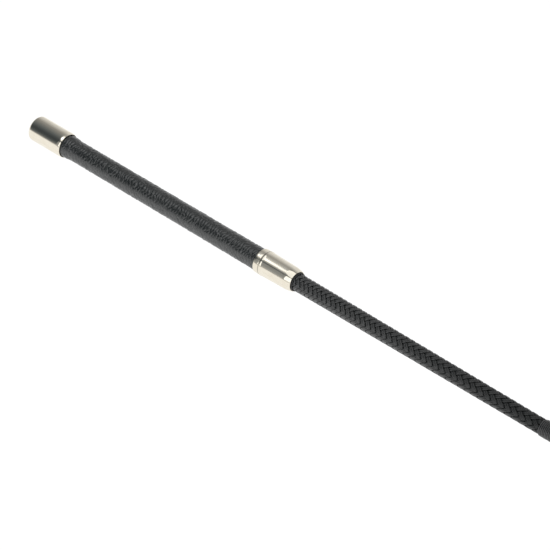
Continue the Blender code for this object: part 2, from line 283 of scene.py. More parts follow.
def polar_points(station, radius, angle):
    """World points from stations, radii and ground angles."""
    station, radius, angle = np.broadcast_arrays(station, radius, angle)
    y = radius * np.cos(angle)
    z = AXIS_Z + radius * np.sin(angle)
    return np.stack([BUTT_X + station, y, z], -1)


def arc(centre, radius, start_deg, end_deg, steps):
    """Points of an arc in the (station, radius) plane, angles measured from the +station direction."""
    angles = np.radians(np.linspace(start_deg, end_deg, steps + 1))
    return [(centre[0] + radius * math.cos(a), centre[1] + radius * math.sin(a)) for a in angles]


def turned(name, outline, material):
    """Closed outline of (station, radius) points, turned about the crop's axis."""
    outline = np.array(outline)
    angles = np.linspace(0.0, 2.0 * math.pi, TURN_SIDES, endpoint=False)
    points = polar_points(outline[:, :1], outline[:, 1:], angles[None, :])
    closed = np.vstack([outline, outline[:1]])
    steps = np.linalg.norm(np.diff(closed, axis=0), axis=1)
    row_uv = np.concatenate([[0.0], np.cumsum(steps)])
    col_uv = np.linspace(0.0, 1.0, TURN_SIDES + 1)
    return build_object(name, [grid_part(points, row_uv, col_uv, wrap_rows=True)], material, merge=True)


def carried_side(tangent):
    """Directions square to a path, carried along it without twist, so a tube is not pinched."""
    start = np.cross(tangent[0], [0.0, 0.0, 1.0] if abs(tangent[0][2]) < 0.9 else [1.0, 0.0, 0.0])
    side = [start / np.linalg.norm(start)]
    for along in tangent[1:]:
        carried = side[-1] - along * (side[-1] @ along)
        side.append(carried / np.linalg.norm(carried))
    return np.array(side)


def swept(path, radii, sides, lobes=0, lobe_depth=0.0, lobe_turn=0.0):
    """Tube part along a path, with twisted lobes round it like the plies of a thread."""
    tangent = np.gradient(path, axis=0)
    tangent /= np.linalg.norm(tangent, axis=1)[:, None]
    length = np.concatenate([[0.0], np.cumsum(np.linalg.norm(np.diff(path, axis=0), axis=1))])
    side = carried_side(tangent)
    normal = np.cross(side, tangent)
    angle = np.linspace(0.0, 2.0 * math.pi, sides, endpoint=False)
    lobe = 1.0 + lobe_depth * np.cos(lobes * (angle[None, :] - length[:, None] * lobe_turn))
    radius = np.asarray(radii)[:, None] * lobe
    ring = side[:, None, :] * np.cos(angle)[None, :, None] + normal[:, None, :] * np.sin(angle)[None, :, None]
    points = path[:, None, :] + ring * radius[:, :, None]
    return grid_part(points, length, np.linspace(0.0, 1.0, sides + 1), cap_ends=True)


# ----------------------------------------
# Material helpers
# ----------------------------------------
def add(tree, kind, inputs=None, **settings):
    """A shader node with its settings, and its inputs set or linked."""
    node = tree.nodes.new("ShaderNode" + kind)
    for key, value in settings.items():
        setattr(node, key, value)
    for key, value in (inputs or {}).items():
        if isinstance(value, bpy.types.NodeSocket):
            tree.links.new(value, node.inputs[key])
        else:
            node.inputs[key].default_value = value
    return node


def coordinates(tree, scale=(1.0, 1.0, 1.0), kind="Object"):
    """Texture coordinates stretched by a scale on each axis."""
    source = add(tree, "TexCoord").outputs[kind]
    return add(tree, "Mapping", {"Vector": source, "Scale": scale}).outputs["Vector"]


def place_along(tree):
    """Place along X, in metres."""
    return add(tree, "SeparateXYZ", {"Vector": coordinates(tree)}).outputs["X"]


def noise(tree, vector, scale, detail=3.0, roughness=0.5):
    """Noise between 0 and 1."""
    inputs = {"Vector": vector, "Scale": scale, "Detail": detail, "Roughness": roughness}
    return add(tree, "TexNoise", inputs).outputs["Fac"]


def remap(tree, value, low, high, new_low=0.0, new_high=1.0):
    """A value's range stretched to a new range and clamped."""
    inputs = {"Value": value, "From Min": low, "From Max": high, "To Min": new_low, "To Max": new_high}
    return add(tree, "MapRange", inputs).outputs["Result"]


def mix(tree, share, first, second):
    """Colour between two colours."""
    node = add(tree, "Mix", data_type="RGBA")
    for index, value in ((0, share), (6, first), (7, second)):
        if isinstance(value, bpy.types.NodeSocket):
            tree.links.new(value, node.inputs[index])
        else:
            node.inputs[index].default_value = value if index == 0 else (*value, 1.0)
    return node.outputs[2]


def combine(tree, operation, first, second):
    """One math operation on two values."""
    return add(tree, "Math", {0: first, 1: second}, operation=operation).outputs["Value"]


def bump(tree, height, distance, normal=None):
    """Bump from a height between 0 and 1 that stands for a distance in metres."""
    inputs = {"Height": height, "Distance": distance, "Strength": 1.0}
    if normal is not None:
        inputs["Normal"] = normal
    return add(tree, "Bump", inputs).outputs["Normal"]


def principled(tree, colour, roughness, normal, **fixed):
    """Feed a material's shader. Extra keywords set its own sockets, with _ for a space."""
    shader = tree.nodes["Principled BSDF"]
    for key, value in (("Base Color", colour), ("Roughness", roughness), ("Normal", normal)):
        tree.links.new(value, shader.inputs[key])
    for key, value in fixed.items():
        shader.inputs[key.replace("_", " ")].default_value = value


def new_material(name):
    """An empty node material and its tree."""
    material = bpy.data.materials.new(name)
    material.use_nodes = True
    return material, material.node_tree


# ----------------------------------------
# Materials
# ----------------------------------------
def nickel_material(name, groove=None):
    """Polished nickel plate: warm tone, faint polishing lines round the piece, a few dull smears.

    A groove's place along X is given where painted shade darkens the metal inside it.
    """
    material, tree = new_material(name)
    lines = noise(tree, coordinates(tree, (9000.0, 260.0, 260.0)), 1.0, 2.0)
    waves = noise(tree, coordinates(tree, (90.0, 150.0, 150.0)), 1.0, 1.0)
    smears = noise(tree, coordinates(tree, (160.0, 260.0, 260.0)), 1.0, 4.0, 0.6)
    colour = mix(tree, remap(tree, smears, 0.35, 0.65), NICKEL, DULL_NICKEL)
    # Painted shade: the groove is coloured darker than the metal round it
    if groove is not None:
        away = combine(tree, "ABSOLUTE", combine(tree, "SUBTRACT", place_along(tree), groove), 0.0)
        outside_painted_groove_shade = remap(tree, away, 0.2 * GROOVE_WIDTH, 0.55 * GROOVE_WIDTH)
        colour = mix(tree, outside_painted_groove_shade, NICKEL_GROOVE_SHADE, colour)
    polish = combine(tree, "MULTIPLY", lines, 0.05)
    roughness = combine(tree, "ADD", polish, remap(tree, smears, 0.4, 0.7, 0.07, 0.12))
    normal = bump(tree, waves, 0.000020)
    normal = bump(tree, lines, 0.0000006, normal)
    principled(tree, colour, roughness, normal, Metallic=1.0)
    return material


def grip_material():
    """Black grained leather: pores, cracks darker than the worn tops of the grain."""
    material, tree = new_material("grained_leather")
    pores = add(tree, "TexVoronoi", {"Vector": coordinates(tree), "Scale": 2600.0})
    pore = remap(tree, pores.outputs["Distance"], 0.05, 0.45)
    wrinkles = noise(tree, coordinates(tree, (1500.0, 650.0, 650.0)), 1.0, 4.0, 0.6)
    patches = noise(tree, coordinates(tree, (60.0, 120.0, 120.0)), 1.0, 3.0)
    worn = remap(tree, wrinkles, 0.45, 0.75)
    colour = mix(tree, worn, (0.0080, 0.0100, 0.0100), (0.0170, 0.0200, 0.0200))
    base = remap(tree, patches, 0.3, 0.7, 0.23, 0.30)
    roughness = combine(tree, "ADD", base, combine(tree, "MULTIPLY", pore, -0.03))
    normal = bump(tree, wrinkles, 0.00016)
    normal = bump(tree, pore, 0.00003, normal)
    principled(tree, colour, roughness, normal, Specular_IOR_Level=1.0)
    return material


def rubber_material():
    """Black rubber with a fine moulded texture and a dusty bloom."""
    material, tree = new_material("bushing_rubber")
    grain = noise(tree, coordinates(tree), 3500.0, 2.0)
    bloom = noise(tree, coordinates(tree), 300.0, 4.0)
    colour = mix(tree, remap(tree, bloom, 0.4, 0.7), (0.010, 0.010, 0.010), (0.022, 0.022, 0.021))
    roughness = remap(tree, grain, 0.3, 0.7, 0.48, 0.62)
    principled(tree, colour, roughness, bump(tree, grain, 0.00002))
    return material


def yarn_material(name, dark, light, along, across, dullness, relief, tip_shade_share=1.0):
    """Yarn whose UVs run across it in u and along it in metres in v: fibres, colour drift, fuzz.

    Its colour darkens and its reflection weakens, from the ferrule to the whipping, down to the share given
    last: painted shade towards the tip.
    """
    material, tree = new_material(name)
    fibres = noise(tree, coordinates(tree, (across, along, 1.0), "UV"), 1.0, 3.0, 0.6)
    drift = noise(tree, coordinates(tree), 220.0, 3.0)
    fuzz = noise(tree, coordinates(tree), 5200.0, 2.0)
    # Painted shade: colour and reflection fall steadily from the ferrule to the whipping
    painted_tip_shade = remap(tree, place_along(tree), BUTT_X + FERRULE_END, BUTT_X + WHIPPING_START, 1.0, tip_shade_share)
    patches = remap(tree, drift, 0.25, 0.75, 0.35, 1.0)
    share = combine(tree, "MULTIPLY", remap(tree, fibres, 0.3, 0.7), patches)
    share = combine(tree, "MULTIPLY", share, painted_tip_shade)
    colour = mix(tree, share, dark, light)
    base = remap(tree, drift, 0.3, 0.7, dullness - 0.05, dullness + 0.05)
    roughness = combine(tree, "ADD", base, combine(tree, "MULTIPLY", fuzz, 0.06))
    normal = bump(tree, fibres, relief)
    normal = bump(tree, fuzz, 0.3 * relief, normal)
    principled(tree, colour, roughness, normal)
    tree.links.new(painted_tip_shade, tree.nodes["Principled BSDF"].inputs["Specular IOR Level"])
    return material


def keeper_material():
    """Smooth black bridle leather: fine grain, faint creases, burnished brown where it is rubbed."""
    material, tree = new_material("bridle_leather")
    rest = add(tree, "Attribute", attribute_name="rest").outputs["Vector"]
    grain = add(tree, "TexVoronoi", {"Vector": rest, "Scale": 1700.0}, feature="DISTANCE_TO_EDGE")
    cracks = remap(tree, grain.outputs["Distance"], 0.0, 0.18)
    stretched = add(tree, "Mapping", {"Vector": rest, "Scale": (420.0, 90.0, 90.0)}).outputs["Vector"]
    creases = noise(tree, stretched, 1.0, 4.0, 0.6)
    wear = noise(tree, rest, 130.0, 5.0, 0.65)
    colour = mix(tree, remap(tree, wear, 0.45, 0.75), (0.014, 0.0125, 0.012), (0.034, 0.028, 0.024))
    colour = mix(tree, remap(tree, cracks, 0.0, 1.0, 0.45, 0.0), colour, (0.006, 0.006, 0.006))
    roughness = remap(tree, wear, 0.3, 0.75, 0.34, 0.52)
    normal = bump(tree, creases, 0.00010)
    normal = bump(tree, cracks, 0.00004, normal)
    principled(tree, colour, roughness, normal)
    return material


def turned_steel_material():
    """Steel as it came off the lathe: fine rings round the axis."""
    material, tree = new_material("turned_steel")
    rings = noise(tree, coordinates(tree, (7000.0, 60.0, 60.0)), 1.0, 2.0)
    stain = noise(tree, coordinates(tree), 240.0, 4.0)
    colour = mix(tree, remap(tree, stain, 0.4, 0.7), (0.52, 0.52, 0.53), (0.38, 0.37, 0.36))
    roughness = remap(tree, rings, 0.3, 0.7, 0.25, 0.42)
    principled(tree, colour, roughness, bump(tree, rings, 0.000008), Metallic=1.0)
    return material


def moulded_tube_material():
    """Moulded dark plastic with flow marks along it."""
    material, tree = new_material("moulded_plastic")
    flow = noise(tree, coordinates(tree, (40.0, 500.0, 500.0)), 1.0, 3.0)
    grain = noise(tree, coordinates(tree), 2800.0, 2.0)
    colour = mix(tree, flow, (0.075, 0.075, 0.078), (0.120, 0.120, 0.118))
    principled(tree, colour, remap(tree, grain, 0.3, 0.7, 0.50, 0.64), bump(tree, grain, 0.00001))
    return material


def glass_fibre_material():
    """Drawn glass fibre in amber resin: long pale streaks."""
    material, tree = new_material("glass_fibre")
    streaks = noise(tree, coordinates(tree, (25.0, 4200.0, 4200.0)), 1.0, 3.0)
    tint = noise(tree, coordinates(tree, (30.0, 300.0, 300.0)), 1.0, 2.0)
    pale = mix(tree, tint, (0.66, 0.63, 0.50), (0.58, 0.54, 0.38))
    colour = mix(tree, remap(tree, streaks, 0.45, 0.75), pale, (0.82, 0.82, 0.76))
    principled(tree, colour, remap(tree, streaks, 0.3, 0.7, 0.30, 0.45), bump(tree, streaks, 0.00002))
    return material


def foam_material():
    """Soft dark foam with open cells."""
    material, tree = new_material("foam_sheath")
    cells = add(tree, "TexVoronoi", {"Vector": coordinates(tree), "Scale": 2200.0})
    cell = remap(tree, cells.outputs["Distance"], 0.1, 0.6)
    drift = noise(tree, coordinates(tree), 260.0, 3.0)
    colour = mix(tree, cell, (0.020, 0.020, 0.020), (0.065, 0.065, 0.063))
    principled(tree, colour, remap(tree, drift, 0.3, 0.7, 0.74, 0.90), bump(tree, cell, 0.00012))
    return material


# ----------------------------------------
# Handle
# ----------------------------------------
def make_cap(material):
    """Drawn metal cup: domed corner at the butt, wall curving in to a thin rolled lip."""
    curve_start = CAP_END - CAP_CURVE_LENGTH
    drop = CAP_RADIUS - CAP_MOUTH_RADIUS
    outer = []
    for share in np.linspace(0.0, 1.0, 21)[1:]:
        outer.append((curve_start + (CAP_CURVE_LENGTH - CAP_LIP) * share, CAP_RADIUS - drop * share ** 2.0))
    lip_centre = (CAP_END - 0.5 * CAP_LIP, CAP_MOUTH_RADIUS - 0.5 * CAP_LIP)
    lip = arc(lip_centre, 0.5 * CAP_LIP, 90, -90, 8)
    wall = [(station, CAP_RADIUS) for station in np.linspace(CAP_START + CAP_CORNER, curve_start, 12)]
    corner = arc((CAP_START + CAP_CORNER, CAP_RADIUS - CAP_CORNER), CAP_CORNER, 180, 90, 12)
    butt = [(CAP_START, radius) for radius in np.linspace(0.0, CAP_RADIUS - CAP_CORNER, 10)[:-1]]
    bore = CAP_RADIUS - METAL_WALL
    inner = [(curve_start, bore), (curve_start - 0.004, bore), (CAP_START + 2.0 * METAL_WALL, bore)]
    inner += [(CAP_START + METAL_WALL, bore - METAL_WALL), (CAP_START + METAL_WALL, 0.0)]
    outline = butt + corner + wall[1:] + outer + lip + inner
    return turned("cap_shell", outline, material)


def cell_relief(stations, angles, rng):
    """Height between 0 and 1 of a crosswise grain: broken ridges parted by creases."""
    rows = int(math.ceil((GRIP_END - GRIP_START) / GRIP_CELL)) + 4
    jitter = rng.uniform(-0.38, 0.38, (rows, GRIP_CELLS_ROUND, 2))
    lift = rng.uniform(0.55, 1.0, (rows, GRIP_CELLS_ROUND))
    sway = 0.35 * np.sin(2.0 * angles + 40.0 * stations) + 0.2 * np.sin(5.0 * angles - 210.0 * stations)
    p = (stations - GRIP_START) / GRIP_CELL + 1.5 + sway
    q = angles / (2.0 * math.pi) * GRIP_CELLS_ROUND
    base_p = np.floor(p).astype(int)
    base_q = np.floor(q).astype(int)
    nearest = np.full(p.shape, 9.0)
    second = np.full(p.shape, 9.0)
    height = np.zeros(p.shape)
    for dp in (-1, 0, 1):
        for dq in (-1, 0, 1):
            i = np.clip(base_p + dp, 0, rows - 1)
            j = (base_q + dq) % GRIP_CELLS_ROUND
            far = np.hypot(
                p - (base_p + dp + 0.5 + jitter[i, j, 0]), q - (base_q + dq + 0.5 + jitter[i, j, 1])
            )
            closer = far < nearest
            second = np.where(closer, nearest, np.minimum(second, far))
            height = np.where(closer, lift[i, j], height)
            nearest = np.where(closer, far, nearest)
    return height * smoothstep(0.0, 0.4, second - nearest)


def make_grip(material):
    """Leather sleeve with a crosswise grain, swelling where it leaves the cap."""
    rng = np.random.default_rng(SEED)
    stations = np.linspace(GRIP_START, GRIP_END, GRIP_ROWS)[:, None]
    angles = np.linspace(0.0, 2.0 * math.pi, GRIP_COLUMNS, endpoint=False)[None, :]
    share = np.clip((stations - CAP_END) / (FERRULE_START - CAP_END), 0.0, 1.0)
    radius = GRIP_RADIUS_AT_CAP + GRIP_SWELL * share ** 1.5
    radius = radius + GRIP_FLARE * (1.0 - smoothstep(0.001, GRIP_FLARE_LENGTH, stations - CAP_END))
    free = smoothstep(CAP_END, CAP_END + 0.002, stations)
    free = free * smoothstep(-FERRULE_START, -FERRULE_START + 0.0015, -stations)
    bare = smoothstep(CAP_END - 0.0012, CAP_END, stations)
    bare = bare * smoothstep(-FERRULE_START - 0.001, -FERRULE_START, -stations)
    radius = np.minimum(radius, GRIP_HELD_RADIUS) * (1.0 - bare) + radius * bare
    grain = cell_relief(*np.broadcast_arrays(stations, angles), rng)
    radius = radius + (grain - grain.mean()) * GRIP_RELIEF * free
    outer = polar_points(stations, radius, angles)
    inner_stations = np.linspace(GRIP_END, GRIP_START, 8)[:, None]
    inner = polar_points(inner_stations, GRIP_BORE, angles)
    points = np.concatenate([outer, inner])
    row_uv = np.concatenate([stations[:, 0], inner_stations[:, 0], stations[:1, 0]])
    part = grid_part(points, row_uv, np.linspace(0.0, 1.0, GRIP_COLUMNS + 1), wrap_rows=True)
    return build_object("grip_leather_sleeve", [part], material, sharp_degrees=75.0)


# ----------------------------------------
# Ferrule
# ----------------------------------------
def make_ferrule(material):
    """Drawn collar: plain ring, rolled groove, barrel and domed shoulder down to a thin mouth."""
    groove_start = FERRULE_START + RING_LENGTH
    groove_end = groove_start + GROOVE_WIDTH
    shoulder_start = FERRULE_END - SHOULDER_LENGTH
    edge = GROOVE_EDGE
    bore = FERRULE_RADIUS - METAL_WALL
    ring_radius = FERRULE_RADIUS - 0.00008
    outline = arc((FERRULE_START + RING_EDGE, ring_radius - RING_EDGE), RING_EDGE, 180, 90, 10)
    for share in np.linspace(0.0, 1.0, 21):
        dip = 0.5 - 0.5 * math.cos(2.0 * math.pi * share)
        station = groove_start - edge + (GROOVE_WIDTH + 2.0 * edge) * share
        outline.append((station, ring_radius - GROOVE_DEPTH * dip))
    for share in np.linspace(0.0, 1.0, 60)[1:]:
        station = groove_end + edge + (shoulder_start - groove_end - edge) * share
        bead = BEAD_HEIGHT * math.exp(-(((station - groove_end - BEAD_PLACE) / BEAD_SPREAD) ** 2))
        outline.append((station, ring_radius + (BARREL_END_RADIUS - ring_radius) * share + bead))
    for share in np.linspace(0.0, 1.0, 25)[1:]:
        station = shoulder_start + (SHOULDER_LENGTH - 0.5 * METAL_WALL) * share
        drop = 0.35 * share + 0.65 * share ** 2
        outline.append((station, BARREL_END_RADIUS - (BARREL_END_RADIUS - MOUTH_RADIUS) * drop))
    half_wall = 0.5 * METAL_WALL
    outline += arc((FERRULE_END - half_wall, MOUTH_RADIUS - half_wall), half_wall, 80, -90, 7)
    outline += [(shoulder_start, BARREL_END_RADIUS - METAL_WALL), (groove_end + edge, bore - 0.0002)]
    outline += [(groove_start + 0.5 * GROOVE_WIDTH, bore - GROOVE_DEPTH), (groove_start - edge, bore)]
    outline += [(FERRULE_START, bore)]
    return turned("ferrule_collar", outline, material)


def make_bushing(material):
    """Rubber bushing inside the collar, with a rounded lip that stands out of its mouth."""
    inside = METAL_WALL + 0.0003
    lip_length = LIP_END - FERRULE_END
    lip = []
    for angle in np.radians(np.linspace(90.0, 0.0, 12)):
        station = FERRULE_END + 0.25 * lip_length + 0.75 * lip_length * math.cos(angle)
        lip.append((station, BUSHING_BORE + 0.0002 + (LIP_RADIUS - BUSHING_BORE - 0.0002) * math.sin(angle)))
    start = FERRULE_START + RING_LENGTH + 2.0 * GROOVE_WIDTH
    outline = [(start, BUSHING_BORE), (start, FERRULE_RADIUS - GROOVE_DEPTH - inside)]
    outline += [(FERRULE_END - SHOULDER_LENGTH, BARREL_END_RADIUS - inside - 0.0001)]
    outline += [(FERRULE_END, MOUTH_RADIUS - inside), (FERRULE_END + 0.0001, LIP_RADIUS - 0.0001)]
    outline += lip + [(LIP_END - 0.0001, BUSHING_BORE)]
    return turned("bushing_lip", outline, material)


# ----------------------------------------
# Braided shaft
# ----------------------------------------
def braid_radius(station):
    """Outer radius of the braid: an even taper, then squeezed in under the whipping."""
    share = np.clip((station - FERRULE_END) / (WHIPPING_START - FERRULE_END), 0.0, 1.0)
    radius = BRAID_RADIUS_AT_FERRULE + (BRAID_RADIUS_AT_WHIPPING - BRAID_RADIUS_AT_FERRULE) * share
    bound = smoothstep(WHIPPING_START - SQUEEZE_BEFORE, WHIPPING_START + SQUEEZE_AFTER, station)
    return radius + (BRAID_RADIUS_BOUND - radius) * bound


def braid_pitch(station):
    """Axial distance between two strands of one direction, growing towards the tip."""
    share = np.clip((station - FERRULE_END) / (WHIPPING_START - FERRULE_END), 0.0, 1.0)
    return PITCH_AT_FERRULE + PITCH_GAIN * share ** PITCH_POWER


def drift(rng, stations, amount):
    """A slow seeded wander along a strand."""
    total = np.zeros_like(stations)
    for wavelength in (0.006, 0.011, 0.023):
        total += np.sin(2.0 * math.pi * (stations / wavelength + rng.uniform()))
    return amount * total / 3.0


def strand_part(direction, index, rng):
    """One strand: a flat band of yarns that passes over and under the other direction's strands."""
    stations = np.linspace(BRAID_START, BRAID_END, BRAID_RINGS)
    turn_rate = 2.0 * math.pi / STRANDS / braid_pitch(stations)
    step = stations[1] - stations[0]
    turn = np.concatenate([[0.0], np.cumsum(0.5 * (turn_rate[1:] + turn_rate[:-1]) * step)])
    turn -= np.interp(FERRULE_END, stations, turn)
    outer = braid_radius(stations)
    spacing = 2.0 * math.pi * outer / STRANDS
    slant = np.arctan(spacing / braid_pitch(stations))
    half_width = 0.5 * STRAND_FILL * spacing * np.cos(slant) * (1.0 + drift(rng, stations, 0.03))
    middle = outer - STRAND_WAVE - STRAND_TOP - 0.00002
    centre = FIRST_STRAND + index * 2.0 * math.pi / STRANDS + direction * turn + drift(rng, stations, 0.035)
    across, height = strand_section()
    offset = half_width[:, None] * across[None, :]
    slant_col = slant[:, None]
    fold = offset / np.tan(2.0 * slant_col) * np.sin(slant_col) / outer[:, None]
    wave = np.cos(STRANDS / 2 * (centre[:, None] + fold - PLUS_COLUMN))
    wave = direction * np.tanh(CROSSING_SHARPNESS * wave) / math.tanh(CROSSING_SHARPNESS)
    fullness = 1.0 + drift(rng, stations, 0.10)[:, None]
    radius = middle[:, None] + STRAND_WAVE * wave + height[None, :] * fullness
    points = polar_points(
        stations[:, None] - direction * np.sin(slant_col) * offset,
        radius,
        centre[:, None] + np.cos(slant_col) * offset / outer[:, None],
    )
    length = np.concatenate([[0.0], np.cumsum(step / np.cos(slant[1:]))])
    u = np.concatenate([across, across[:1]]) * 0.5 * YARNS + YARNS * 1.5 * index
    return grid_part(points, length, u, cap_ends=True)


def strand_section():
    """Section of a strand: places across it from -1 to 1, and heights over its middle line."""
    top = np.linspace(-1.0, 1.0, 6 * YARNS + 1)
    crest = 0.50 + 0.50 * np.abs(np.sin(0.5 * math.pi * YARNS * (top + 1.0))) ** 0.6
    top_height = STRAND_TOP * crest * (1.0 - np.abs(top) ** 4)
    bottom = np.linspace(1.0, -1.0, 2 * YARNS + 1)[1:-1]
    bottom_height = -STRAND_BOTTOM * (1.0 - bottom ** 4) ** 0.5
    return np.concatenate([top, bottom]), np.concatenate([top_height, bottom_height])


def make_braid(name, direction, material):
    """All strands that wind the same way round the shaft."""
    rng = np.random.default_rng(SEED + 2 + direction)
    parts = [strand_part(direction, index, rng) for index in range(STRANDS)]
    return build_object(name, parts, material, sharp_degrees=80.0)


def make_whipping(material):
    """Waxed thread wound side by side over the braid's end and the keeper's root, ends tucked in."""
    samples = int(THREAD_TURNS * THREAD_STEPS_PER_TURN)
    turn = np.linspace(0.0, THREAD_TURNS, samples)
    first = WHIPPING_START + THREAD_RADIUS
    last = WHIPPING_END - THREAD_RADIUS
    rng = np.random.default_rng(SEED + 7)
    station = first + (last - first) * turn / THREAD_TURNS
    wobble = 0.00003 * np.sin(2.0 * math.pi * (turn * 0.37 + rng.uniform()))
    wobble = wobble + 0.00003 * np.sin(2.0 * math.pi * (turn * 1.13 + rng.uniform()))
    to_end = np.minimum(turn, THREAD_TURNS - turn)
    tuck = 1.0 - smoothstep(0.0, 0.3, to_end)
    radius = WHIPPING_RADIUS - THREAD_RADIUS + wobble - THREAD_TUCK * tuck
    path = polar_points(station + wobble, radius, 2.0 * math.pi * turn)
    thickness = THREAD_RADIUS * (1.0 - 0.5 * tuck)
    part = swept(path, thickness, 20, lobes=3, lobe_depth=0.06, lobe_turn=900.0)
    return build_object("whipping_thread", [part], material, sharp_degrees=80.0)


# ----------------------------------------
# Keeper
# ----------------------------------------
# Rings in from the tongue's edge: inset, and height as a share of the half thickness
EDGE_RINGS = (
    (0.00032, 0.00), (0.00012, 0.09), (0.00002, 0.28), (0.00000, 0.50),
    (0.00007, 0.72), (0.00026, 0.90), (0.00062, 0.985), (0.00115, 1.00),
)
FOLD_ANGLES = (0.0, 12.0, 26.0, 40.0, 54.0, 68.0, 80.0, 90.0)
INNER_INSETS = (0.0020, 0.0026, 0.0029, 0.0032, 0.0035, 0.0038, 0.0046, 0.0055)
SEAM_DIP = 0.09                     # share of the half thickness
INNER_COLUMNS = 11


def keeper_half_width(distance):
    """Half width of the tongue at a distance past its hinge: neck, flowing shoulder, slight flare."""
    share = np.clip(distance / KEEPER_SHOULDER, 0.0, 1.0)
    ease = 0.5 - 0.5 * np.cos(math.pi * share)
    shoulder = KEEPER_NECK_HALF_WIDTH + (KEEPER_SHOULDER_HALF_WIDTH - KEEPER_NECK_HALF_WIDTH) * ease
    flare = np.clip((distance - KEEPER_SHOULDER) / (KEEPER_LENGTH - KEEPER_SHOULDER), 0.0, 1.0)
    return shoulder + (KEEPER_END_HALF_WIDTH - KEEPER_SHOULDER_HALF_WIDTH) * flare


def keeper_warp(distance, y):
    """How far the leather has lifted off flat: a long wave and slightly cupped edges."""
    grown = smoothstep(0.004, 0.030, distance)
    wave = 0.00030 * np.sin(2.0 * math.pi * (distance / 0.071 + 0.1))
    cup = 0.00035 * (y / KEEPER_END_HALF_WIDTH) ** 2
    return grown * (wave + cup)


def edge_slope(distance):
    """How much an inset grows, measured along Y, where the edge runs at a slant."""
    step = 0.0002
    slope = (keeper_half_width(distance + step) - keeper_half_width(distance - step)) / (2.0 * step)
    return np.sqrt(1.0 + slope ** 2)


def seam_dip(inset):
    """Depth of the seam's channel, as a share of the half thickness, at an inset from the edge."""
    return SEAM_DIP * np.clip(1.0 - np.abs(inset - SEAM_INSET) / 0.0004, 0.0, 1.0)


def keeper_rings():
    """Inset and height share of each ring, along the sides and at the folded end."""
    side_inset = [inset for inset, _ in EDGE_RINGS] + list(INNER_INSETS)
    side_height = [height for _, height in EDGE_RINGS] + [1.0 - seam_dip(inset) for inset in INNER_INSETS]
    angles = np.radians(FOLD_ANGLES)
    fold_inset = list(KEEPER_HALF_THICKNESS * (1.0 - np.cos(angles))) + list(INNER_INSETS)
    fold_height = list(np.sin(angles)) + [1.0 - seam_dip(inset) for inset in INNER_INSETS]
    return np.array(side_inset), np.array(side_height), np.array(fold_inset), np.array(fold_height)


def flat_row(distance, rings):
    """Upper half of one row across the tongue, +Y edge to the middle: arrays of x, y and height share."""
    inset, height = rings[0], rings[1]
    half_width = float(keeper_half_width(distance))
    shrink = min(1.0, half_width / 0.008)
    grown = float(smoothstep(0.0045, SEAM_START, distance))
    height = np.where(inset > 0.0025, 1.0 - (1.0 - height) * grown, height)
    y = half_width - inset * shrink * float(edge_slope(distance))
    middle = np.linspace(y[-1], 0.0, INNER_COLUMNS)[1:]
    y = np.concatenate([y, middle])
    height = np.concatenate([height, np.ones(len(middle))])
    return np.full(len(y), distance), y, height


def fold_row(row, rings):
    """Upper half of a row in the rounded end, counted inwards from the end."""
    side_inset, side_height, fold_inset, fold_height = rings
    last = len(side_inset) - 1
    centre_x = KEEPER_LENGTH - KEEPER_CORNER
    centre_y = float(keeper_half_width(centre_x)) - KEEPER_CORNER
    x, y, height = [], [], []
    for col in range(last + 1):
        ring = min(row, col)
        reach = KEEPER_CORNER - fold_inset[ring]
        if ring == last:
            turn = 0.5
        elif col <= row:
            turn = 0.5 * (KEEPER_CORNER - fold_inset[row]) / reach
        else:
            turn = 1.0 - 0.5 * (KEEPER_CORNER - fold_inset[col]) / reach
        ease = float(smoothstep(0.0, 1.0, turn))
        radius = KEEPER_CORNER - (side_inset[ring] + (fold_inset[ring] - side_inset[ring]) * ease)
        x.append(centre_x + radius * math.sin(0.5 * math.pi * turn))
        y.append(centre_y + radius * math.cos(0.5 * math.pi * turn))
        height.append(side_height[ring] + (fold_height[ring] - side_height[ring]) * ease)
    middle = np.linspace(centre_y, 0.0, INNER_COLUMNS)[1:]
    x += [KEEPER_LENGTH - fold_inset[row]] * len(middle)
    y += list(middle)
    height += [fold_height[row]] * len(middle)
    return np.array(x), np.array(y), np.array(height)


def closed_row(x, y, height):
    """Full section from its upper half: (x, y, z) points round the tongue, z measured from its middle."""
    z = height * KEEPER_HALF_THICKNESS
    upper_x = np.concatenate([x, x[-2::-1]])
    upper_y = np.concatenate([y, -y[-2::-1]])
    upper_z = np.concatenate([z, z[-2::-1]])
    upper = np.stack([upper_x, upper_y, upper_z], -1)
    lower = upper[-2:0:-1] * (1.0, 1.0, -1.0)
    return np.concatenate([upper, lower])


def gathered(section, distance):
    """Roll a flat section up into the round root that the whipping holds, with gathers at the neck."""
    roundness = 1.0 - float(smoothstep(-0.0030, 0.0075, distance))
    steps = np.linalg.norm(np.diff(np.vstack([section, section[:1]])[:, 1:], axis=0), axis=1)
    angle = 2.0 * math.pi * np.concatenate([[0.0], np.cumsum(steps)[:-1]]) / steps.sum()
    free = float(smoothstep(-0.0030, 0.0010, distance)) * (1.0 - float(smoothstep(0.006, 0.016, distance)))
    gathers = 0.00022 * free * (np.cos(7.0 * angle + 0.7) + 0.6 * np.cos(11.0 * angle))
    radius = KEEPER_ROOT_RADIUS + gathers
    result = section.copy()
    result[:, 1] += (radius * np.cos(angle) - section[:, 1]) * roundness
    result[:, 2] += (radius * np.sin(angle) - section[:, 2]) * roundness
    result[:, 2] += gathers * (1.0 - roundness) * section[:, 2] / KEEPER_HALF_THICKNESS
    return result


def root_bore(first_section):
    """Two rings that turn the root's end inwards, down a blind hole for the core."""
    share = KEEPER_ROOT_BORE / KEEPER_ROOT_RADIUS
    mouth = first_section * (1.0, share, share)
    bottom = mouth.copy()
    bottom[:, 0] = CORE_END + BORE_CLEARANCE - HINGE
    return [bottom, mouth]


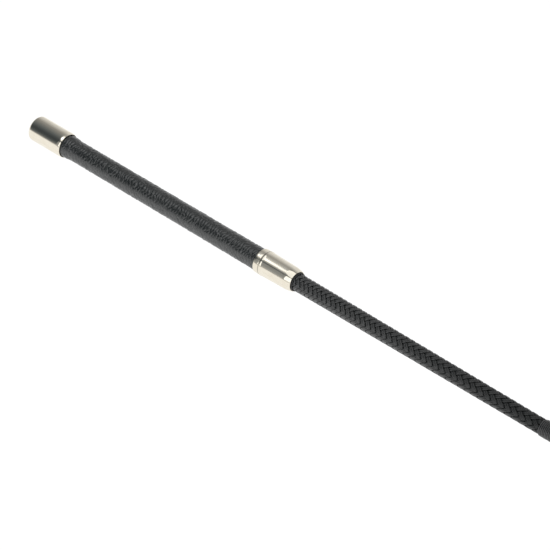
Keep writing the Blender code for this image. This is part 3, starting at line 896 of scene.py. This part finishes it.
def make_keeper(material):
    """One strip of leather: gathered root under the whipping, neck, shoulder and stitched tongue."""
    rings = keeper_rings()
    start = KEEPER_ROOT_START - HINGE
    distances = np.concatenate(
        [np.linspace(start, 0.018, 76), np.linspace(0.018, KEEPER_LENGTH - KEEPER_CORNER, 86)[1:]]
    )
    sections = [gathered(closed_row(*flat_row(d, rings)), d) for d in distances]
    sections += [closed_row(*fold_row(row, rings)) for row in range(len(rings[0]) - 2, -1, -1)]
    sections = root_bore(sections[0]) + sections
    points = np.array(sections)
    points[:, :, 2] += keeper_warp(points[:, :, 0], points[:, :, 1])
    points += (BUTT_X + HINGE, 0.0, AXIS_Z)
    rows, cols = points.shape[:2]
    part = grid_part(points, np.linspace(0.0, 1.0, rows), np.linspace(0.0, 1.0, cols + 1))
    vertices, faces, uvs = part
    faces.append(list(range(cols)))
    uvs = np.vstack([uvs, np.zeros((cols, 2))])
    obj = build_object("keeper_leather_strip", [(vertices, faces, uvs)], material, merge=True)
    rest = obj.data.attributes.new("rest", "FLOAT_VECTOR", "POINT")
    rest.data.foreach_set("vector", np.array([v.co for v in obj.data.vertices]).ravel())
    return obj


def seam_path():
    """Dense (x, y) points of the seam: down the +Y side, round the end and back."""
    centre_x = KEEPER_LENGTH - KEEPER_CORNER
    centre_y = float(keeper_half_width(centre_x)) - KEEPER_CORNER
    x = np.linspace(SEAM_START, centre_x, 400)
    y = keeper_half_width(x) - SEAM_INSET * edge_slope(x)
    turn = np.linspace(0.0, 0.5 * math.pi, 30)[1:]
    radius = KEEPER_CORNER - SEAM_INSET
    x = np.concatenate([x, centre_x + radius * np.sin(turn)])
    y = np.concatenate([y, centre_y + radius * np.cos(turn)])
    return np.concatenate([np.stack([x, y], -1), np.stack([x[::-1], -y[::-1]], -1)])


def make_seam(name, face, material):
    """One thread of the lock stitch: slanting stitches on one face, dipping into each hole."""
    path = seam_path()
    length = np.concatenate([[0.0], np.cumsum(np.linalg.norm(np.diff(path, axis=0), axis=1))])
    stitches = int(length[-1] / STITCH)
    samples = stitches * STEPS_PER_STITCH + 1
    along = np.linspace(0.0, length[-1], samples)
    x = np.interp(along, length, path[:, 0])
    y = np.interp(along, length, path[:, 1])
    tangent = np.stack([np.gradient(x), np.gradient(y)], -1)
    tangent /= np.linalg.norm(tangent, axis=1)[:, None]
    phase = (np.arange(samples) % STEPS_PER_STITCH) / STEPS_PER_STITCH
    from_hole = np.minimum(phase, 1.0 - phase)
    raised = smoothstep(0.0, 0.16, from_hole)
    rng = np.random.default_rng(SEED + 11)
    pull = rng.uniform(-0.00004, 0.00004, stitches + 1)[np.arange(samples) // STEPS_PER_STITCH]
    shift = face * STITCH_SLANT * (phase - 0.5) * raised + pull * raised
    x = x - tangent[:, 1] * shift
    y = y + tangent[:, 0] * shift
    surface = KEEPER_HALF_THICKNESS * (1.0 - SEAM_DIP)
    height = surface + SEAM_THREAD_RADIUS * (0.55 * raised - 2.2 * (1.0 - raised))
    z = AXIS_Z + keeper_warp(x, y) + face * height
    points = np.stack([BUTT_X + HINGE + x, y, z], -1)
    radii = np.full(samples, SEAM_THREAD_RADIUS)
    part = swept(points, radii, 15, lobes=3, lobe_depth=0.10, lobe_turn=1900.0)
    return build_object(name, [part], material, sharp_degrees=80.0)


# ----------------------------------------
# Stage
# ----------------------------------------
def make_floor():
    """Plain white floor that glows evenly, as a backlit shooting table does."""
    mesh = bpy.data.meshes.new("floor")
    half = FLOOR_HALF_SIZE
    corners = [(x, y, FLOOR_Z) for x, y in ((-half, -half), (half, -half), (half, half), (-half, half))]
    mesh.from_pydata(corners, [], [(0, 1, 2, 3)])
    material, tree = new_material("floor_white")
    shader = tree.nodes["Principled BSDF"]
    shader.inputs["Base Color"].default_value = (FLOOR_GREY, FLOOR_GREY, FLOOR_GREY, 1.0)
    shader.inputs["Roughness"].default_value = 1.0
    shader.inputs["Specular IOR Level"].default_value = 0.0
    shader.inputs["Emission Color"].default_value = (*WHITE, 1.0)
    shader.inputs["Emission Strength"].default_value = FLOOR_GLOW
    mesh.materials.append(material)
    floor = bpy.data.objects.new("floor", mesh)
    bpy.context.scene.collection.objects.link(floor)


def make_world():
    """Dim studio, brighter at its far side and just above the table. The camera sees it plain white."""
    world = bpy.data.worlds.new("studio")
    world.use_nodes = True
    bpy.context.scene.world = world
    tree = world.node_tree
    direction = add(tree, "SeparateXYZ", {"Vector": add(tree, "TexCoord").outputs["Generated"]})
    across = level_ramp(tree, direction.outputs["Y"], -1.0, 1.0, SIDE_LEVELS)
    upward = level_ramp(tree, direction.outputs["Z"], 0.0, 0.5, HORIZON_LEVELS)
    level = combine(tree, "MAXIMUM", across, upward)
    cool = mix(tree, remap(tree, level, 0.06, 0.30), STUDIO_TINT, WHITE)
    colour = add(tree, "VectorMath", {0: cool, 1: level}, operation="MULTIPLY").outputs["Vector"]
    seen = add(tree, "LightPath").outputs["Is Camera Ray"]
    tree.links.new(mix(tree, seen, colour, WHITE), tree.nodes["Background"].inputs["Color"])


def level_ramp(tree, value, low, high, levels, scale=1.0):
    """Brightness read off a list of (place from 0 to 1, level) between two values."""
    ramp = add(tree, "ValToRGB", {"Fac": remap(tree, value, low, high)})
    elements = ramp.color_ramp.elements
    while len(elements) < len(levels):
        elements.new(1.0)
    for element, (place, level) in zip(elements, levels):
        element.position = place
        element.color = (level / scale, level / scale, level / scale, 1.0)
    return combine(tree, "MULTIPLY", ramp.outputs["Color"], scale)


def make_softbox(name, centre, aim, size, radiance, shape="RECTANGLE"):
    """Even soft light at a centre, facing an aim point."""
    light = bpy.data.lights.new(name, "AREA")
    light.shape = shape
    light.size, light.size_y = size
    area = size[0] * size[1] * (math.pi / 4.0 if shape == "ELLIPSE" else 1.0)
    light.energy = radiance * math.pi * area
    obj = bpy.data.objects.new(name, light)
    obj.location = centre
    obj.rotation_euler = (Vector(centre) - Vector(aim)).to_track_quat("Z", "Y").to_euler()
    obj.visible_camera = False
    bpy.context.scene.collection.objects.link(obj)


def make_glow(name, centre, size, levels):
    """Level soft light facing down, whose brightness falls from its centre (0) to its edge (1)."""
    light = bpy.data.lights.new(name, "AREA")
    light.shape = "RECTANGLE"
    light.size, light.size_y = size
    light.energy = math.pi * size[0] * size[1]
    light.use_nodes = True
    tree = light.node_tree
    place = add(tree, "NewGeometry").outputs["Parametric"]
    away = add(tree, "VectorMath", {0: place, 1: (0.5, 0.5, 0.0)}, operation="DISTANCE")
    level = level_ramp(tree, away.outputs["Value"], 0.0, 0.5, levels, scale=KEY_PEAK)
    tree.links.new(level, tree.nodes["Emission"].inputs["Strength"])
    obj = bpy.data.objects.new(name, light)
    obj.location = centre
    obj.visible_camera = False
    bpy.context.scene.collection.objects.link(obj)


def make_camera():
    """Long lens at the photograph's viewing angle."""
    camera = bpy.data.cameras.new("camera")
    camera.lens = CAMERA_LENS
    camera.sensor_width = 36.0
    camera.clip_end = 100.0
    obj = bpy.data.objects.new("camera", camera)
    flat = math.cos(CAMERA_ELEVATION)
    sideways = math.sin(CAMERA_AZIMUTH) * flat
    forwards = -math.cos(CAMERA_AZIMUTH) * flat
    back = Vector((sideways, forwards, math.sin(CAMERA_ELEVATION)))
    aim = Vector((BUTT_X + CAMERA_AIM_STATION, 0.0, AXIS_Z)) + CAMERA_AIM_SHIFT
    obj.location = aim + back * CAMERA_DISTANCE
    obj.rotation_euler = back.to_track_quat("Z", "Y").to_euler()
    bpy.context.scene.collection.objects.link(obj)
    bpy.context.scene.camera = obj


# ----------------------------------------
# Assembly
# ----------------------------------------
def place(obj, body, slot, *nodes):
    """Tie a piece to its body and hide the CAD nodes that it stands for; the slot is not used."""
    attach(obj, body)
    if nodes:
        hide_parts(*nodes)


def paint(node, material):
    """Give a CAD node that stays a procedural material."""
    for material_slot in frame["nodes"][node].material_slots:
        material_slot.material = material


def add_handle():
    """Cap and grip, and the hidden plug and tube."""
    place(make_cap(nickel_material("cap_nickel")), "crop", "nickel", "handle_cap")
    place(make_grip(grip_material()), "crop", "grip_leather", "grip_sleeve")
    paint("handle_plug", turned_steel_material())
    paint("handle_tube", moulded_tube_material())


def add_shaft():
    """Ferrule, bushing, braid and whipping, and the hidden core and its sheath."""
    groove = BUTT_X + FERRULE_START + RING_LENGTH + 0.5 * GROOVE_WIDTH
    place(make_ferrule(nickel_material("collar_nickel", groove)), "crop", "nickel", "ferrule")
    place(make_bushing(rubber_material()), "crop", "bushing_rubber", "ferrule_bushing")
    yarn = yarn_material("braid_yarn", *BRAID_YARN, tip_shade_share=BRAID_YARN_TIP_SHADE)
    place(make_braid("braid_right_strands", 1, yarn), "crop", "braid", "braid_cover")
    place(make_braid("braid_left_strands", -1, yarn), "crop", "braid", "braid_cover")
    waxed = yarn_material("waxed_thread", *WAXED_THREAD)
    place(make_whipping(waxed), "crop", "whipping", "tip_whipping")
    paint("shaft_core", glass_fibre_material())
    paint("core_sheath", foam_material())


def add_keeper():
    """Leather strip, and the two threads of its seam tied to the keeper's body."""
    keeper = make_keeper(keeper_material())
    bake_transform(keeper)
    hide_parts("keeper_root", "keeper_tongue")
    linen = yarn_material("linen_thread", *LINEN_THREAD)
    place(make_seam("keeper_needle_stitches", 1.0, linen), "keeper", "stitching", "keeper_needle_thread")
    place(make_seam("keeper_bobbin_stitches", -1.0, linen), "keeper", "stitching", "keeper_bobbin_thread")


def add_stage():
    """Floor, studio, lights and camera."""
    make_floor()
    make_world()
    make_glow("key_light", *KEY_LIGHT, KEY_LEVELS)
    make_softbox("overhead_light", *OVERHEAD_LIGHT, "ELLIPSE")
    make_softbox("front_light", *FRONT_LIGHT)
    make_softbox("side_light", *SIDE_LIGHT)
    make_camera()


def main():
    """Build everything."""
    bpy.context.scene.view_settings.view_transform = "Standard"
    add_handle()
    add_shaft()
    add_keeper()
    add_stage()


main()
